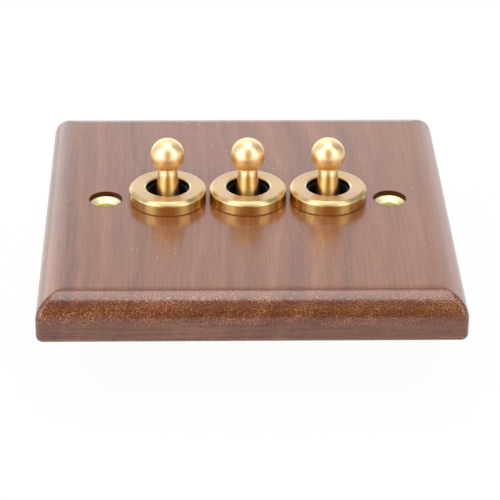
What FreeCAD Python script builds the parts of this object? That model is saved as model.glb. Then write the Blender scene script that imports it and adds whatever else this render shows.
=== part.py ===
import FreeCAD, Part
import math
import os
from types import SimpleNamespace

import Sketcher

# Three-gang dolly switch on a moulded walnut plate.
# Millimetres. The wall plane is Z = 0, +Z points out of the wall, +Y points up the wall and +X to the right.
# The origin is the middle of the two wall-box screws.

SIZES = {
    # Wooden plate
    "plate_width": 86.0,
    "plate_length": 86.0,
    "plate_thickness": 10.0,
    "moulding_radius": 5.5,
    "corner_radius": 1.5,
    "arris_radius": 1.2,
    "web_thickness": 4.7,
    "cutter_overrun": 2.0,
    # Wall-box screw holes and their brass cups
    "fixing_spacing": 60.3,
    "fixing_bore": 4.1,
    "cup_diameter": 6.8,
    "cup_fit": 0.05,
    "cup_height": 2.2,
    "cup_sink": 1.0,
    "cup_rim": 0.3,
    "cup_tube_wall": 0.5,
    # Dress rings
    "ring_diameter": 16.4,
    "ring_gap": 0.6,
    "ring_height": 3.1,
    "ring_lip": 0.9,
    "ring_hole": 9.15,
    "ring_chamfer": 0.7,
    "ring_hole_chamfer": 0.3,
    # Steel back plate and its wood screws
    "back_plate_thickness": 1.0,
    "back_plate_side": 0.7,
    "back_plate_end": 6.0,
    "back_plate_corner": 2.0,
    "recess_clearance": 0.3,
    "wood_screw_diameter": 1.8,
    "wood_screw_head": 4.0,
    "wood_screw_head_height": 0.9,
    "wood_screw_grip": 2.5,
    "wood_screw_side_inset": 4.0,
    "wood_screw_end_inset": 2.4,
    "screw_clearance": 0.15,
    "driver_slot_width": 0.6,
    "driver_slot_depth": 0.5,
    # Earth terminal on the back plate
    "earth_width": 6.0,
    "earth_length": 4.6,
    "earth_height": 5.0,
    "earth_wire_hole": 2.6,
    "earth_edge": 0.4,
    # Moulded switch cases
    "case_gap": 2.4,
    "case_length": 26.0,
    "case_wall": 1.35,
    "case_corner": 0.8,
    "case_fit": 0.1,
    "cover_thickness": 2.4,
    "neck_diameter": 11.0,
    "neck_wall": 1.4,
    "neck_clearance": 0.1,
    "neck_relief": 0.3,
    "hook_width": 5.0,
    "hook_thickness": 1.0,
    "hook_catch": 2.4,
    "hook_drop": 4.0,
    "hook_barb": 0.8,
    "floor_drop": 5.8,
    "floor_thickness": 2.2,
    "shroud_depth": 2.4,
    "rib_thickness": 1.0,
    "wire_notch_width": 3.0,
    "wire_notch_height": 2.0,
    "wire_notch_offset": 2.9,
    # Dolly, its pivot pin, plunger and spring
    "lever_tilt": 14.0,
    "pivot_depth": 5.1,
    "ball_diameter": 7.28,
    "ball_reach": 11.36,
    "stem_top": 4.0,
    "stem_base": 5.2,
    "hub_diameter": 5.4,
    "hub_rise": 2.6,
    "hub_drop": 2.4,
    "tail_diameter": 4.0,
    "tail_reach": 8.3,
    "tail_bore": 2.6,
    "bore_top": 1.7,
    "pin_diameter": 1.6,
    "pin_running_fit": 0.05,
    "pin_seat_fit": 0.02,
    "pin_inset": 0.3,
    "plunger_fit": 0.05,
    "spring_length": 4.2,
    "spring_wire": 0.35,
    "spring_fit": 0.1,
    # Rocking contact
    "rocker_depth": 13.2,
    "rocker_swing": 9.0,
    "rocker_width": 4.5,
    "rocker_arm": 8.4,
    "rocker_lift": 0.4,
    "rocker_thickness": 0.8,
    "rocker_web": 0.72,
    "rocker_rib": 0.8,
    "trough_angle": 42.0,
    "trough_lip": 0.7,
    "tip_clearance": 0.08,
    # Terminals and their screws
    "terminal_width": 5.0,
    "terminal_thickness": 0.9,
    "terminal_reach": 9.8,
    "contact_start": 6.0,
    "contact_gap": 0.05,
    "notch_clearance": 0.1,
    "post_top": 2.6,
    "post_top_height": 1.5,
    "post_shoulder": 0.9,
    "post_body": 4.4,
    "post_foot": 6.0,
    "foot_clearance": 0.6,
    "slot_clearance": 0.1,
    "terminal_screw_diameter": 2.4,
    "terminal_screw_head": 3.6,
    "terminal_screw_head_height": 1.2,
    "terminal_screw_grip": 2.4,
    "tip_room": 0.1,
}

SIDES = {"left": -1, "centre": 0, "right": 1}


class Size:
    """A number together with the formula over the sheet's cells that gives it."""

    def __init__(self, value, formula):
        self.value = float(value)
        self.formula = formula

    def __add__(self, other):
        other = as_size(other)
        return Size(self.value + other.value, f"({self.formula} + {other.formula})")

    def __sub__(self, other):
        other = as_size(other)
        return Size(self.value - other.value, f"({self.formula} - {other.formula})")

    def __mul__(self, other):
        other = as_size(other)
        return Size(self.value * other.value, f"({self.formula} * {other.formula})")

    def __truediv__(self, other):
        other = as_size(other)
        return Size(self.value / other.value, f"({self.formula} / {other.formula})")

    def __neg__(self):
        return Size(-self.value, f"(0 - {self.formula})")


def as_size(item):
    """Give a plain number the form of a Size."""
    return item if isinstance(item, Size) else Size(item, repr(float(item)))


def sine(angle):
    return Size(math.sin(math.radians(angle.value)), f"sin({angle.formula})")


def cosine(angle):
    return Size(math.cos(math.radians(angle.value)), f"cos({angle.formula})")


def root(size):
    return Size(math.sqrt(size.value), f"sqrt({size.formula})")


def write_sheet(doc):
    """Put every driving size in the sheet and return them all as named sizes."""
    sheet = doc.addObject("Spreadsheet::Sheet", "Sizes")
    for row, (name, value) in enumerate(SIZES.items(), start=1):
        sheet.set(f"A{row}", name)
        sheet.set(f"B{row}", str(value))
        sheet.setAlias(f"B{row}", name)
    doc.recompute()
    return SimpleNamespace(**{name: Size(value, f"Sizes.{name}") for name, value in SIZES.items()})


class Arc:
    """Marks that two neighbouring points of a loop are joined by an arc about this centre."""

    def __init__(self, centre_x, centre_y, turn):
        self.centre = (as_size(centre_x), as_size(centre_y))
        self.turn = turn


def vector(point):
    return FreeCAD.Vector(point[0].value, point[1].value, 0)


def bind(sketch, kind, geometry, position, size):
    """Dimension a point from the origin of the sketch, with the formula of its size."""
    constraint = Sketcher.Constraint(kind, -1, 1, geometry, position, size.value)
    index = sketch.addConstraint(constraint)
    sketch.setExpression(f"Constraints[{index}]", size.formula)


def arc_geometry(start, end, arc):
    """The arc from start to end, which runs counter-clockwise where its turn is positive."""
    centre = vector(arc.centre)
    first, last = (start, end) if arc.turn > 0 else (end, start)
    from_centre = vector(first) - centre
    to_centre = vector(last) - centre
    circle = Part.Circle(centre, FreeCAD.Vector(0, 0, 1), from_centre.Length)
    begin = math.atan2(from_centre.y, from_centre.x)
    finish = math.atan2(to_centre.y, to_centre.x)
    return Part.ArcOfCircle(circle, begin, finish)


def add_loop(sketch, outline):
    """Draw a closed loop of points and arcs and dimension every point of it."""
    points = []
    arcs = {}
    for item in outline:
        if isinstance(item, Arc):
            arcs[len(points) - 1] = item
        else:
            points.append((as_size(item[0]), as_size(item[1])))
    ends = []
    for number, start in enumerate(points):
        end = points[(number + 1) % len(points)]
        if number in arcs:
            geometry = sketch.addGeometry(arc_geometry(start, end, arcs[number]))
            forward = arcs[number].turn > 0
        else:
            geometry = sketch.addGeometry(Part.LineSegment(vector(start), vector(end)))
            forward = True
        ends.append((geometry, 1, 2) if forward else (geometry, 2, 1))
    for number, (geometry, start, end) in enumerate(ends):
        following = ends[(number + 1) % len(ends)]
        sketch.addConstraint(Sketcher.Constraint("Coincident", geometry, end, following[0], following[1]))
    for (geometry, start, end), point in zip(ends, points):
        bind(sketch, "DistanceX", geometry, start, point[0])
        bind(sketch, "DistanceY", geometry, start, point[1])
    for number, arc in arcs.items():
        chord = vector(points[(number + 1) % len(points)]) - vector(points[number])
        if abs(chord.x) >= abs(chord.y):
            bind(sketch, "DistanceY", ends[number][0], 3, arc.centre[1])
        else:
            bind(sketch, "DistanceX", ends[number][0], 3, arc.centre[0])


def add_circle(sketch, centre_x, centre_y, diameter):
    """Draw a circle and dimension its centre and its diameter."""
    centre = (as_size(centre_x), as_size(centre_y))
    normal = FreeCAD.Vector(0, 0, 1)
    geometry = sketch.addGeometry(Part.Circle(vector(centre), normal, diameter.value / 2))
    bind(sketch, "DistanceX", geometry, 3, centre[0])
    bind(sketch, "DistanceY", geometry, 3, centre[1])
    index = sketch.addConstraint(Sketcher.Constraint("Diameter", geometry, diameter.value))
    sketch.setExpression(f"Constraints[{index}]", diameter.formula)


def rectangle(low_x, low_y, high_x, high_y):
    return [(low_x, low_y), (high_x, low_y), (high_x, high_y), (low_x, high_y)]


def centred_rectangle(width, length):
    return rectangle(-width / 2, -length / 2, width / 2, length / 2)


def mirrored(outline):
    """The same loop on the other side of the sketch's vertical axis."""
    flipped = []
    for item in outline:
        if isinstance(item, Arc):
            flipped.append(Arc(-item.centre[0], item.centre[1], -item.turn))
        else:
            flipped.append((-as_size(item[0]), item[1]))
    return flipped


def new_body(doc, label):
    body = doc.addObject("PartDesign::Body", label)
    body.Label = label
    return body


def new_sketch(body, plane, height=None):
    """An empty sketch on one of the body's origin planes, at a height along that plane's normal."""
    sketch = body.newObject("Sketcher::SketchObject", f"{body.Label}_sketch")
    support = next(item for item in body.Origin.OriginFeatures if item.Role == plane)
    sketch.AttachmentSupport = [(support, "")]
    sketch.MapMode = "FlatFace"
    if height is not None:
        sketch.setExpression("AttachmentOffset.Base.z", height.formula)
    return sketch


def add_pad(body, sketch, length, symmetric=False, downward=False):
    pad = body.newObject("PartDesign::Pad", f"{body.Label}_pad")
    pad.Profile = sketch
    pad.setExpression("Length", length.formula)
    pad.Reversed = downward
    if symmetric:
        pad.SideType = "Symmetric"
    body.Document.recompute()
    return pad


def add_pocket(body, sketch, length=None, upward=False):
    """Cut a sketch into the body, right through both ways where no length is given."""
    before = body.Shape.Volume
    pocket = body.newObject("PartDesign::Pocket", f"{body.Label}_pocket")
    pocket.Profile = sketch
    if length is None:
        pocket.Type = "ThroughAll"
        pocket.SideType = "Symmetric"
    else:
        pocket.setExpression("Length", length.formula)
        pocket.Reversed = upward
    body.Document.recompute()
    if not body.Shape.Volume < before:
        raise RuntimeError(f"A pocket of {body.Label} removes nothing")
    return pocket


def add_revolution(body, outline):
    """Turn a profile of radii and heights about the body's Z axis."""
    sketch = new_sketch(body, "XZ_Plane")
    add_loop(sketch, outline)
    turned = body.newObject("PartDesign::Revolution", f"{body.Label}_revolution")
    turned.Profile = sketch
    turned.ReferenceAxis = (sketch, ["V_Axis"])
    turned.Angle = 360
    body.Document.recompute()
    return turned


def add_fillet(body, radius, chosen):
    """Round the edges of the body that the chosen test accepts."""
    base = body.Tip
    names = [f"Edge{number}" for number, edge in enumerate(base.Shape.Edges, start=1) if chosen(edge)]
    fillet = body.newObject("PartDesign::Fillet", f"{body.Label}_fillet")
    fillet.Base = (base, names)
    fillet.setExpression("Radius", radius.formula)
    body.Document.recompute()
    return fillet


def is_upright(edge):
    """True for a straight edge that is parallel to Z."""
    start = edge.Vertexes[0].Point
    end = edge.Vertexes[-1].Point
    return math.hypot(end.x - start.x, end.y - start.y) < 1e-6 and abs(end.z - start.z) > 1e-6


def place(item, base, axis=(0, 0, 1), angle=0.0):
    """Bind the placement of a piece to formulas for its base point and its turn."""
    point = "; ".join(as_size(part).formula for part in base)
    direction = "; ".join(str(part) for part in axis)
    turn = as_size(angle).formula
    item.setExpression("Placement", f"placement(vector({point}); rotation(vector({direction}); {turn}))")


def levels(s):
    """Heights and spacings that several pieces share."""
    pitch = s.ring_diameter + s.ring_gap
    case_width = pitch - s.case_gap
    ring_top = s.plate_thickness + s.ring_height
    recess_floor = s.plate_thickness - s.web_thickness
    cover_top = recess_floor - s.back_plate_thickness
    lever_pivot = ring_top - s.pivot_depth
    rocker_pivot = lever_pivot - s.rocker_depth
    cavity_floor = rocker_pivot - s.floor_drop
    floor_under = cavity_floor - s.floor_thickness
    chamber_half = s.post_foot / 2 + s.foot_clearance
    foot_start = chamber_half + s.rib_thickness + s.foot_clearance / 2
    leg_start = s.terminal_reach - s.terminal_thickness
    back_width = pitch * 2 + case_width + s.back_plate_side * 2
    back_length = s.case_length + s.back_plate_end * 2
    return SimpleNamespace(
        pitch=pitch,
        case_width=case_width,
        ring_top=ring_top,
        recess_floor=recess_floor,
        cover_top=cover_top,
        base_top=cover_top - s.cover_thickness,
        lever_pivot=lever_pivot,
        rocker_pivot=rocker_pivot,
        cavity_floor=cavity_floor,
        floor_under=floor_under,
        case_bottom=floor_under - s.shroud_depth,
        head_top=floor_under - s.terminal_thickness,
        neck_top=ring_top - s.ring_lip - s.neck_relief,
        neck_bore=s.neck_diameter - s.neck_wall * 2,
        chamber_half=chamber_half,
        foot_start=foot_start,
        leg_start=leg_start,
        end_screw=(foot_start + leg_start) / 2,
        cavity_half=s.case_length / 2 - s.case_wall,
        cup_tube=s.fixing_bore + s.cup_tube_wall * 2,
        back_width=back_width,
        back_length=back_length,
        wood_screw_x=back_width / 2 - s.wood_screw_side_inset,
        wood_screw_y=back_length / 2 - s.wood_screw_end_inset,
        earth_y=s.case_length / 2 + s.back_plate_end / 2,
    )


def wood_screw_places(z):
    """Centres of the four screws that hold the back plate to the wood."""
    return [(z.wood_screw_x * x, z.wood_screw_y * y) for x in (-1, 1) for y in (-1, 1)]


def moulding_waste(s, span):
    """What a quarter-round cutter takes off one edge of a plate of this span."""
    edge = span / 2
    start = edge - s.moulding_radius
    spring = s.plate_thickness - s.moulding_radius
    top = s.plate_thickness + s.cutter_overrun
    return [
        (edge, spring),
        (edge + s.cutter_overrun, spring),
        (edge + s.cutter_overrun, top),
        (start, top),
        (start, s.plate_thickness),
        Arc(start, spring, -1),
    ]


def make_walnut_plate(doc, s, z):
    """The wooden plate: moulded round its edge, bored for the necks and cups, hollowed at the back."""
    body = new_body(doc, "walnut_plate")
    sketch = new_sketch(body, "XY_Plane")
    add_loop(sketch, centred_rectangle(s.plate_width, s.plate_length))
    add_pad(body, sketch, s.plate_thickness)
    for plane, span in (("XZ_Plane", s.plate_width), ("YZ_Plane", s.plate_length)):
        sketch = new_sketch(body, plane)
        waste = moulding_waste(s, span)
        add_loop(sketch, waste)
        add_loop(sketch, mirrored(waste))
        add_pocket(body, sketch)

    def is_corner_edge(edge):
        box = edge.BoundBox
        inset_x = s.plate_width.value / 2 - abs(box.Center.x)
        inset_y = s.plate_length.value / 2 - abs(box.Center.y)
        return box.ZLength > 1e-3 and abs(inset_x - inset_y) < 1e-3

    def is_wall_edge(edge):
        return edge.BoundBox.ZMax < 1e-6

    add_fillet(body, s.corner_radius, is_corner_edge)
    add_fillet(body, s.arris_radius, is_wall_edge)
    sketch = new_sketch(body, "XY_Plane")
    clearance = s.recess_clearance * 2
    add_loop(sketch, centred_rectangle(z.back_width + clearance, z.back_length + clearance))
    add_pocket(body, sketch, z.recess_floor, upward=True)
    sketch = new_sketch(body, "XY_Plane")
    for side in SIDES.values():
        add_circle(sketch, z.pitch * side, 0, s.neck_diameter + s.neck_clearance * 2)
    for end in (-1, 1):
        add_circle(sketch, s.fixing_spacing * end / 2, 0, z.cup_tube + s.cup_fit * 2)
    add_pocket(body, sketch)
    sketch = new_sketch(body, "XY_Plane", s.plate_thickness)
    for end in (-1, 1):
        add_circle(sketch, s.fixing_spacing * end / 2, 0, s.cup_diameter + s.cup_fit * 2)
    add_pocket(body, sketch, s.cup_sink + s.cup_height)
    sketch = new_sketch(body, "XY_Plane", z.recess_floor)
    for x, y in wood_screw_places(z):
        add_circle(sketch, x, y, s.wood_screw_diameter + s.screw_clearance)
    add_pocket(body, sketch, s.wood_screw_grip + s.tip_room, upward=True)
    return body


def make_screw_cup(doc, s, z, label, end):
    """A turned brass cup, countersunk for the head of a wall-box screw, with a tube down to the wall."""
    body = new_body(doc, label)
    outer = s.cup_diameter / 2
    bore = s.fixing_bore / 2
    tube = z.cup_tube / 2
    mouth = outer - s.cup_rim
    top = s.plate_thickness - s.cup_sink
    shoulder = top - s.cup_height
    add_revolution(body, [
        (bore, 0),
        (tube, 0),
        (tube, shoulder),
        (outer, shoulder),
        (outer, top),
        (mouth, top),
        (bore, top - mouth + bore),
    ])
    place(body, (s.fixing_spacing * end / 2, 0, 0))
    return body


def make_back_plate(doc, s, z):
    """The steel plate in the recess, which the three cases are pulled against."""
    body = new_body(doc, "back_plate")
    sketch = new_sketch(body, "XY_Plane", z.cover_top)
    add_loop(sketch, centred_rectangle(z.back_width, z.back_length))
    for side in SIDES.values():
        add_circle(sketch, z.pitch * side, 0, s.neck_diameter + s.neck_clearance * 2)
    for x, y in wood_screw_places(z):
        add_circle(sketch, x, y, s.wood_screw_diameter + s.screw_clearance * 2)
    add_pad(body, sketch, s.back_plate_thickness)
    add_fillet(body, s.back_plate_corner, is_upright_corner(z))
    return body


def is_upright_corner(z):
    """A test for the four outer corners of the back plate."""
    def chosen(edge):
        middle = edge.BoundBox.Center
        return is_upright(edge) and abs(abs(middle.x) - z.back_width.value / 2) < 1e-3
    return chosen


def cut_driver_slots(body, s, places, head, under):
    """Cut a driver slot across each head, up from the level of its under side."""
    sketch = new_sketch(body, "XY_Plane", under)
    half_length = head / 2 + s.driver_slot_width
    half_width = s.driver_slot_width / 2
    for x, y in places:
        x, y = as_size(x), as_size(y)
        add_loop(sketch, rectangle(x - half_length, y - half_width, x + half_length, y + half_width))
    add_pocket(body, sketch, s.driver_slot_depth, upward=True)


def make_plate_screws(doc, s, z):
    """The four pan-head wood screws of the back plate."""
    body = new_body(doc, "plate_screws")
    heads = new_sketch(body, "XY_Plane", z.cover_top)
    for x, y in wood_screw_places(z):
        add_circle(heads, x, y, s.wood_screw_head)
    add_pad(body, heads, s.wood_screw_head_height, downward=True)
    shanks = new_sketch(body, "XY_Plane", z.cover_top)
    for x, y in wood_screw_places(z):
        add_circle(shanks, x, y, s.wood_screw_diameter)
    add_pad(body, shanks, s.back_plate_thickness + s.wood_screw_grip)
    cut_driver_slots(body, s, wood_screw_places(z), s.wood_screw_head, z.cover_top - s.wood_screw_head_height)
    return body


def make_earth_terminal(doc, s, z):
    """The brass earth block on the back plate, with a wire hole across and a screw hole up its middle."""
    body = new_body(doc, "earth_terminal")
    sketch = new_sketch(body, "XY_Plane", z.cover_top)
    low = z.earth_y - s.earth_length / 2
    high = z.earth_y + s.earth_length / 2
    add_loop(sketch, rectangle(-s.earth_width / 2, low, s.earth_width / 2, high))
    add_pad(body, sketch, s.earth_height, downward=True)
    sketch = new_sketch(body, "YZ_Plane")
    add_circle(sketch, z.earth_y, z.cover_top - s.earth_height / 2 + s.earth_edge, s.earth_wire_hole)
    add_pocket(body, sketch)
    sketch = new_sketch(body, "XY_Plane", z.cover_top - s.earth_height)
    add_circle(sketch, 0, z.earth_y, s.terminal_screw_diameter + s.slot_clearance * 2)
    add_pocket(body, sketch, s.earth_height / 2, upward=True)
    return body


def make_earth_screw(doc, s, z):
    """The clamping screw of the earth block."""
    body = new_body(doc, "earth_screw")
    bottom = z.cover_top - s.earth_height
    head = new_sketch(body, "XY_Plane", bottom)
    add_circle(head, 0, z.earth_y, s.terminal_screw_head)
    add_pad(body, head, s.terminal_screw_head_height, downward=True)
    shank = new_sketch(body, "XY_Plane", bottom)
    add_circle(shank, 0, z.earth_y, s.terminal_screw_diameter)
    add_pad(body, shank, s.terminal_screw_grip - s.tip_room)
    under = bottom - s.terminal_screw_head_height
    cut_driver_slots(body, s, [(0, z.earth_y)], s.terminal_screw_head, under)
    return body


def make_dress_ring(doc, s, z, side, step):
    """A turned brass ring nut: a plain collar whose lip closes over the end of the neck."""
    body = new_body(doc, f"{side}_dress_ring")
    outer = s.ring_diameter / 2
    hole = s.ring_hole / 2
    bore = s.neck_diameter / 2 + s.neck_clearance / 2
    top = z.ring_top
    add_revolution(body, [
        (bore, s.plate_thickness),
        (outer, s.plate_thickness),
        (outer, top - s.ring_chamfer),
        (outer - s.ring_chamfer, top),
        (hole + s.ring_hole_chamfer, top),
        (hole, top - s.ring_hole_chamfer),
        (hole, top - s.ring_lip),
        (bore, top - s.ring_lip),
    ])
    place(body, (z.pitch * step, 0, 0))
    return body


def make_dolly(doc, s, z, side, step):
    """The brass dolly, turned in one piece: ball, tapered stem, hub and bored tail, tipped to its rest."""
    body = new_body(doc, f"{side}_dolly")
    ball = s.ball_diameter / 2
    neck = s.stem_top / 2
    junction = s.ball_reach - root(ball * ball - neck * neck)
    hub = s.hub_diameter / 2
    tail = s.tail_diameter / 2
    bore = s.tail_bore / 2
    add_revolution(body, [
        (0, s.ball_reach + ball),
        Arc(0, s.ball_reach, -1),
        (neck, junction),
        (s.stem_base / 2, s.hub_rise),
        (hub, s.hub_rise),
        (hub, -s.hub_drop),
        (tail, -s.hub_drop),
        (tail, -s.tail_reach),
        (bore, -s.tail_reach),
        (bore, -s.bore_top),
        (0, -s.bore_top),
    ])
    sketch = new_sketch(body, "YZ_Plane")
    add_circle(sketch, 0, 0, s.pin_diameter + s.pin_running_fit * 2)
    add_pocket(body, sketch)
    place(body, (z.pitch * step, 0, z.lever_pivot), (-1, 0, 0), s.lever_tilt)
    return body


def make_pivot_pin(doc, s, z, side, step):
    """The steel pin across the neck that the dolly turns on."""
    pin = doc.addObject("Part::Cylinder", f"{side}_pivot_pin")
    pin.Label = f"{side}_pivot_pin"
    half = s.neck_diameter / 2 - s.pin_inset
    pin.setExpression("Radius", (s.pin_diameter / 2).formula)
    pin.setExpression("Height", (half * 2).formula)
    place(pin, (z.pitch * step - half, 0, z.lever_pivot), (0, 1, 0), 90)
    return pin


def plunger_radius(s):
    return s.tail_bore / 2 - s.plunger_fit


def tip_reach(s):
    """From the dolly's pivot to the end of the plunger, which rides just clear of the rocker's trough."""
    return s.rocker_depth - s.rocker_lift - s.rocker_web - s.tip_clearance


def make_plunger(doc, s, z, side, step):
    """The round-nosed plunger that slides in the dolly's tail and rides in the rocker's trough."""
    body = new_body(doc, f"{side}_plunger")
    radius = plunger_radius(s)
    nose = -tip_reach(s) + radius
    top = -s.bore_top - s.spring_length
    add_revolution(body, [
        (0, top),
        (0, nose - radius),
        Arc(0, nose, 1),
        (radius, nose),
        (radius, top),
    ])
    place(body, (z.pitch * step, 0, z.lever_pivot), (-1, 0, 0), s.lever_tilt)
    return body


def make_plunger_spring(doc, s, z, side, step):
    """The space that the plunger's coil spring fills in the tail's bore, as a plain sleeve."""
    body = new_body(doc, f"{side}_plunger_spring")
    outer = s.tail_bore / 2 - s.spring_fit
    inner = outer - s.spring_wire
    top = -s.bore_top
    bottom = top - s.spring_length
    add_revolution(body, [(inner, bottom), (outer, bottom), (outer, top), (inner, top)])
    place(body, (z.pitch * step, 0, z.lever_pivot), (-1, 0, 0), s.lever_tilt)
    return body


def hook_outline(s, z):
    """One snap hook of the cover, seen along X."""
    outside = z.cavity_half - s.case_fit
    inside = outside - s.hook_thickness
    top = z.base_top
    low = top - s.hook_drop
    return [
        (inside, top),
        (inside, low),
        (outside, low),
        (outside + s.hook_barb, low + s.hook_barb),
        (outside + s.hook_barb, top - s.hook_catch),
        (outside, top - s.hook_catch),
        (outside, top),
    ]


def make_switch_cover(doc, s, z, side, step):
    """The moulded cover of a case: a flange with the neck that passes through the wood, and two snap hooks."""
    body = new_body(doc, f"{side}_switch_cover")
    sketch = new_sketch(body, "XY_Plane", z.base_top)
    add_loop(sketch, centred_rectangle(z.case_width, s.case_length))
    add_pad(body, sketch, s.cover_thickness)
    add_fillet(body, s.case_corner, is_upright)
    sketch = new_sketch(body, "XY_Plane", z.cover_top)
    add_circle(sketch, 0, 0, s.neck_diameter)
    add_pad(body, sketch, z.neck_top - z.cover_top)
    sketch = new_sketch(body, "YZ_Plane")
    add_loop(sketch, hook_outline(s, z))
    add_loop(sketch, mirrored(hook_outline(s, z)))
    add_pad(body, sketch, s.hook_width, symmetric=True)
    sketch = new_sketch(body, "XY_Plane")
    add_circle(sketch, 0, 0, z.neck_bore)
    add_pocket(body, sketch)
    sketch = new_sketch(body, "YZ_Plane")
    add_circle(sketch, 0, z.lever_pivot, s.pin_diameter + s.pin_seat_fit * 2)
    add_pocket(body, sketch)
    place(body, (z.pitch * step, 0, 0))
    return body


def wire_notch(s, z, offset):
    """The outline of one round-topped wire entry in the foot of a case wall."""
    half = s.wire_notch_width / 2
    spring = z.case_bottom + s.wire_notch_height - half
    offset = as_size(offset)
    return [
        (offset - half, z.case_bottom),
        (offset - half, spring),
        Arc(offset, spring, -1),
        (offset + half, spring),
        (offset + half, z.case_bottom),
    ]


def cut_wire_entries(body, s, z):
    """Notch the case walls for wires: two entries in each end and one in each side, for the middle terminal."""
    end_offsets = (-s.wire_notch_offset, s.wire_notch_offset)
    for plane, reach, offsets in (("XZ_Plane", s.case_length / 2, end_offsets), ("YZ_Plane", z.case_width / 2, (0,))):
        for height, far_side in ((reach, False), (-reach, True)):
            sketch = new_sketch(body, plane, height)
            for offset in offsets:
                add_loop(sketch, wire_notch(s, z, offset))
            add_pocket(body, sketch, s.case_wall, upward=far_side)


def make_switch_base(doc, s, z, side, step):
    """The moulded base of a case: an open box with a slotted floor and ribbed terminal chambers below it."""
    body = new_body(doc, f"{side}_switch_base")
    sketch = new_sketch(body, "XY_Plane", z.case_bottom)
    add_loop(sketch, centred_rectangle(z.case_width, s.case_length))
    add_pad(body, sketch, z.base_top - z.case_bottom)
    add_fillet(body, s.case_corner, is_upright)
    inner_half = z.case_width / 2 - s.case_wall
    sketch = new_sketch(body, "XY_Plane", z.base_top)
    add_loop(sketch, rectangle(-inner_half, -z.cavity_half, inner_half, z.cavity_half))
    add_pocket(body, sketch, z.base_top - z.cavity_floor)
    sketch = new_sketch(body, "XY_Plane", z.case_bottom)
    end_chamber = z.chamber_half + s.rib_thickness
    add_loop(sketch, rectangle(-inner_half, -z.chamber_half, inner_half, z.chamber_half))
    add_loop(sketch, rectangle(-inner_half, end_chamber, inner_half, z.cavity_half))
    add_loop(sketch, rectangle(-inner_half, -z.cavity_half, inner_half, -end_chamber))
    add_pocket(body, sketch, s.shroud_depth, upward=True)
    sketch = new_sketch(body, "XY_Plane")
    slot_half = s.terminal_width / 2 + s.slot_clearance
    post_half = s.post_body / 2 + s.slot_clearance
    near = z.leg_start - s.slot_clearance
    far = s.terminal_reach + s.slot_clearance
    add_loop(sketch, rectangle(-slot_half, -post_half, slot_half, post_half))
    add_loop(sketch, rectangle(-slot_half, near, slot_half, far))
    add_loop(sketch, rectangle(-slot_half, -far, slot_half, -near))
    add_pocket(body, sketch)
    sketch = new_sketch(body, "XY_Plane", z.floor_under)
    for end in (-1, 1):
        add_circle(sketch, 0, z.end_screw * end, s.terminal_screw_diameter + s.slot_clearance * 2)
    add_pocket(body, sketch, s.terminal_screw_grip - s.terminal_thickness + s.tip_room, upward=True)
    sketch = new_sketch(body, "XZ_Plane")
    window_half = s.hook_width / 2 + s.case_fit
    low = z.base_top - s.hook_drop - s.case_fit
    high = z.base_top - s.hook_catch + s.case_fit
    add_loop(sketch, rectangle(-window_half, low, window_half, high))
    add_pocket(body, sketch)
    cut_wire_entries(body, s, z)
    place(body, (z.pitch * step, 0, 0))
    return body


def make_rocker_contact(doc, s, z, side, step):
    """The rocking contact: two flat arms, a trough for the plunger and a rib underneath to rock on."""
    body = new_body(doc, f"{side}_rocker_contact")
    nose = plunger_radius(s)
    nose_reach = tip_reach(s) - nose
    middle_height = s.rocker_depth - nose_reach
    across = nose_reach * sine(s.lever_tilt)
    above = s.rocker_depth - nose_reach * cosine(s.lever_tilt)
    end_y = across * cosine(s.rocker_swing) - above * sine(s.rocker_swing)
    end_rise = across * sine(s.rocker_swing) + above * cosine(s.rocker_swing) - middle_height
    path_radius = (end_y * end_y + end_rise * end_rise) / (end_rise * 2)
    trough = path_radius + nose + s.tip_clearance
    centre = middle_height + path_radius
    trough_half = trough * sine(s.trough_angle)
    lip_top = centre - trough * cosine(s.trough_angle)
    lip_end = trough_half + s.trough_lip
    arm_top = s.rocker_lift + s.rocker_thickness
    rib_half = root(s.rocker_rib * s.rocker_rib - s.rocker_lift * s.rocker_lift)
    sketch = new_sketch(body, "YZ_Plane")
    add_loop(sketch, [
        (-rib_half, s.rocker_lift),
        Arc(0, 0, 1),
        (rib_half, s.rocker_lift),
        (s.rocker_arm, s.rocker_lift),
        (s.rocker_arm, arm_top),
        (lip_end, arm_top),
        (lip_end, lip_top),
        (trough_half, lip_top),
        Arc(0, centre, -1),
        (-trough_half, lip_top),
        (-lip_end, lip_top),
        (-lip_end, arm_top),
        (-s.rocker_arm, arm_top),
        (-s.rocker_arm, s.rocker_lift),
    ])
    add_pad(body, sketch, s.rocker_width, symmetric=True)
    place(body, (z.pitch * step, 0, z.rocker_pivot), (1, 0, 0), s.rocker_swing)
    return body


def make_common_terminal(doc, s, z, side, step):
    """The middle terminal: a post whose notched top carries the rocker and whose foot takes a wire screw."""
    body = new_body(doc, f"{side}_common_terminal")
    notch = s.rocker_rib + s.notch_clearance
    top = z.rocker_pivot
    shoulder = top - s.post_top_height
    half = [
        (notch, top),
        (s.post_top / 2, top),
        (s.post_top / 2, shoulder),
        (s.post_body / 2, shoulder - s.post_shoulder),
        (s.post_body / 2, z.floor_under),
        (s.post_foot / 2, z.floor_under),
        (s.post_foot / 2, z.head_top),
    ]
    other_half = [(-x, y) for x, y in reversed(half)]
    sketch = new_sketch(body, "YZ_Plane")
    add_loop(sketch, half + other_half + [Arc(0, top, 1)])
    add_pad(body, sketch, s.terminal_width, symmetric=True)
    sketch = new_sketch(body, "XY_Plane", z.head_top)
    add_circle(sketch, 0, 0, s.terminal_screw_diameter + s.slot_clearance * 2)
    add_pocket(body, sketch, s.terminal_screw_grip + s.tip_room, upward=True)
    place(body, (z.pitch * step, 0, 0))
    return body


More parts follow.
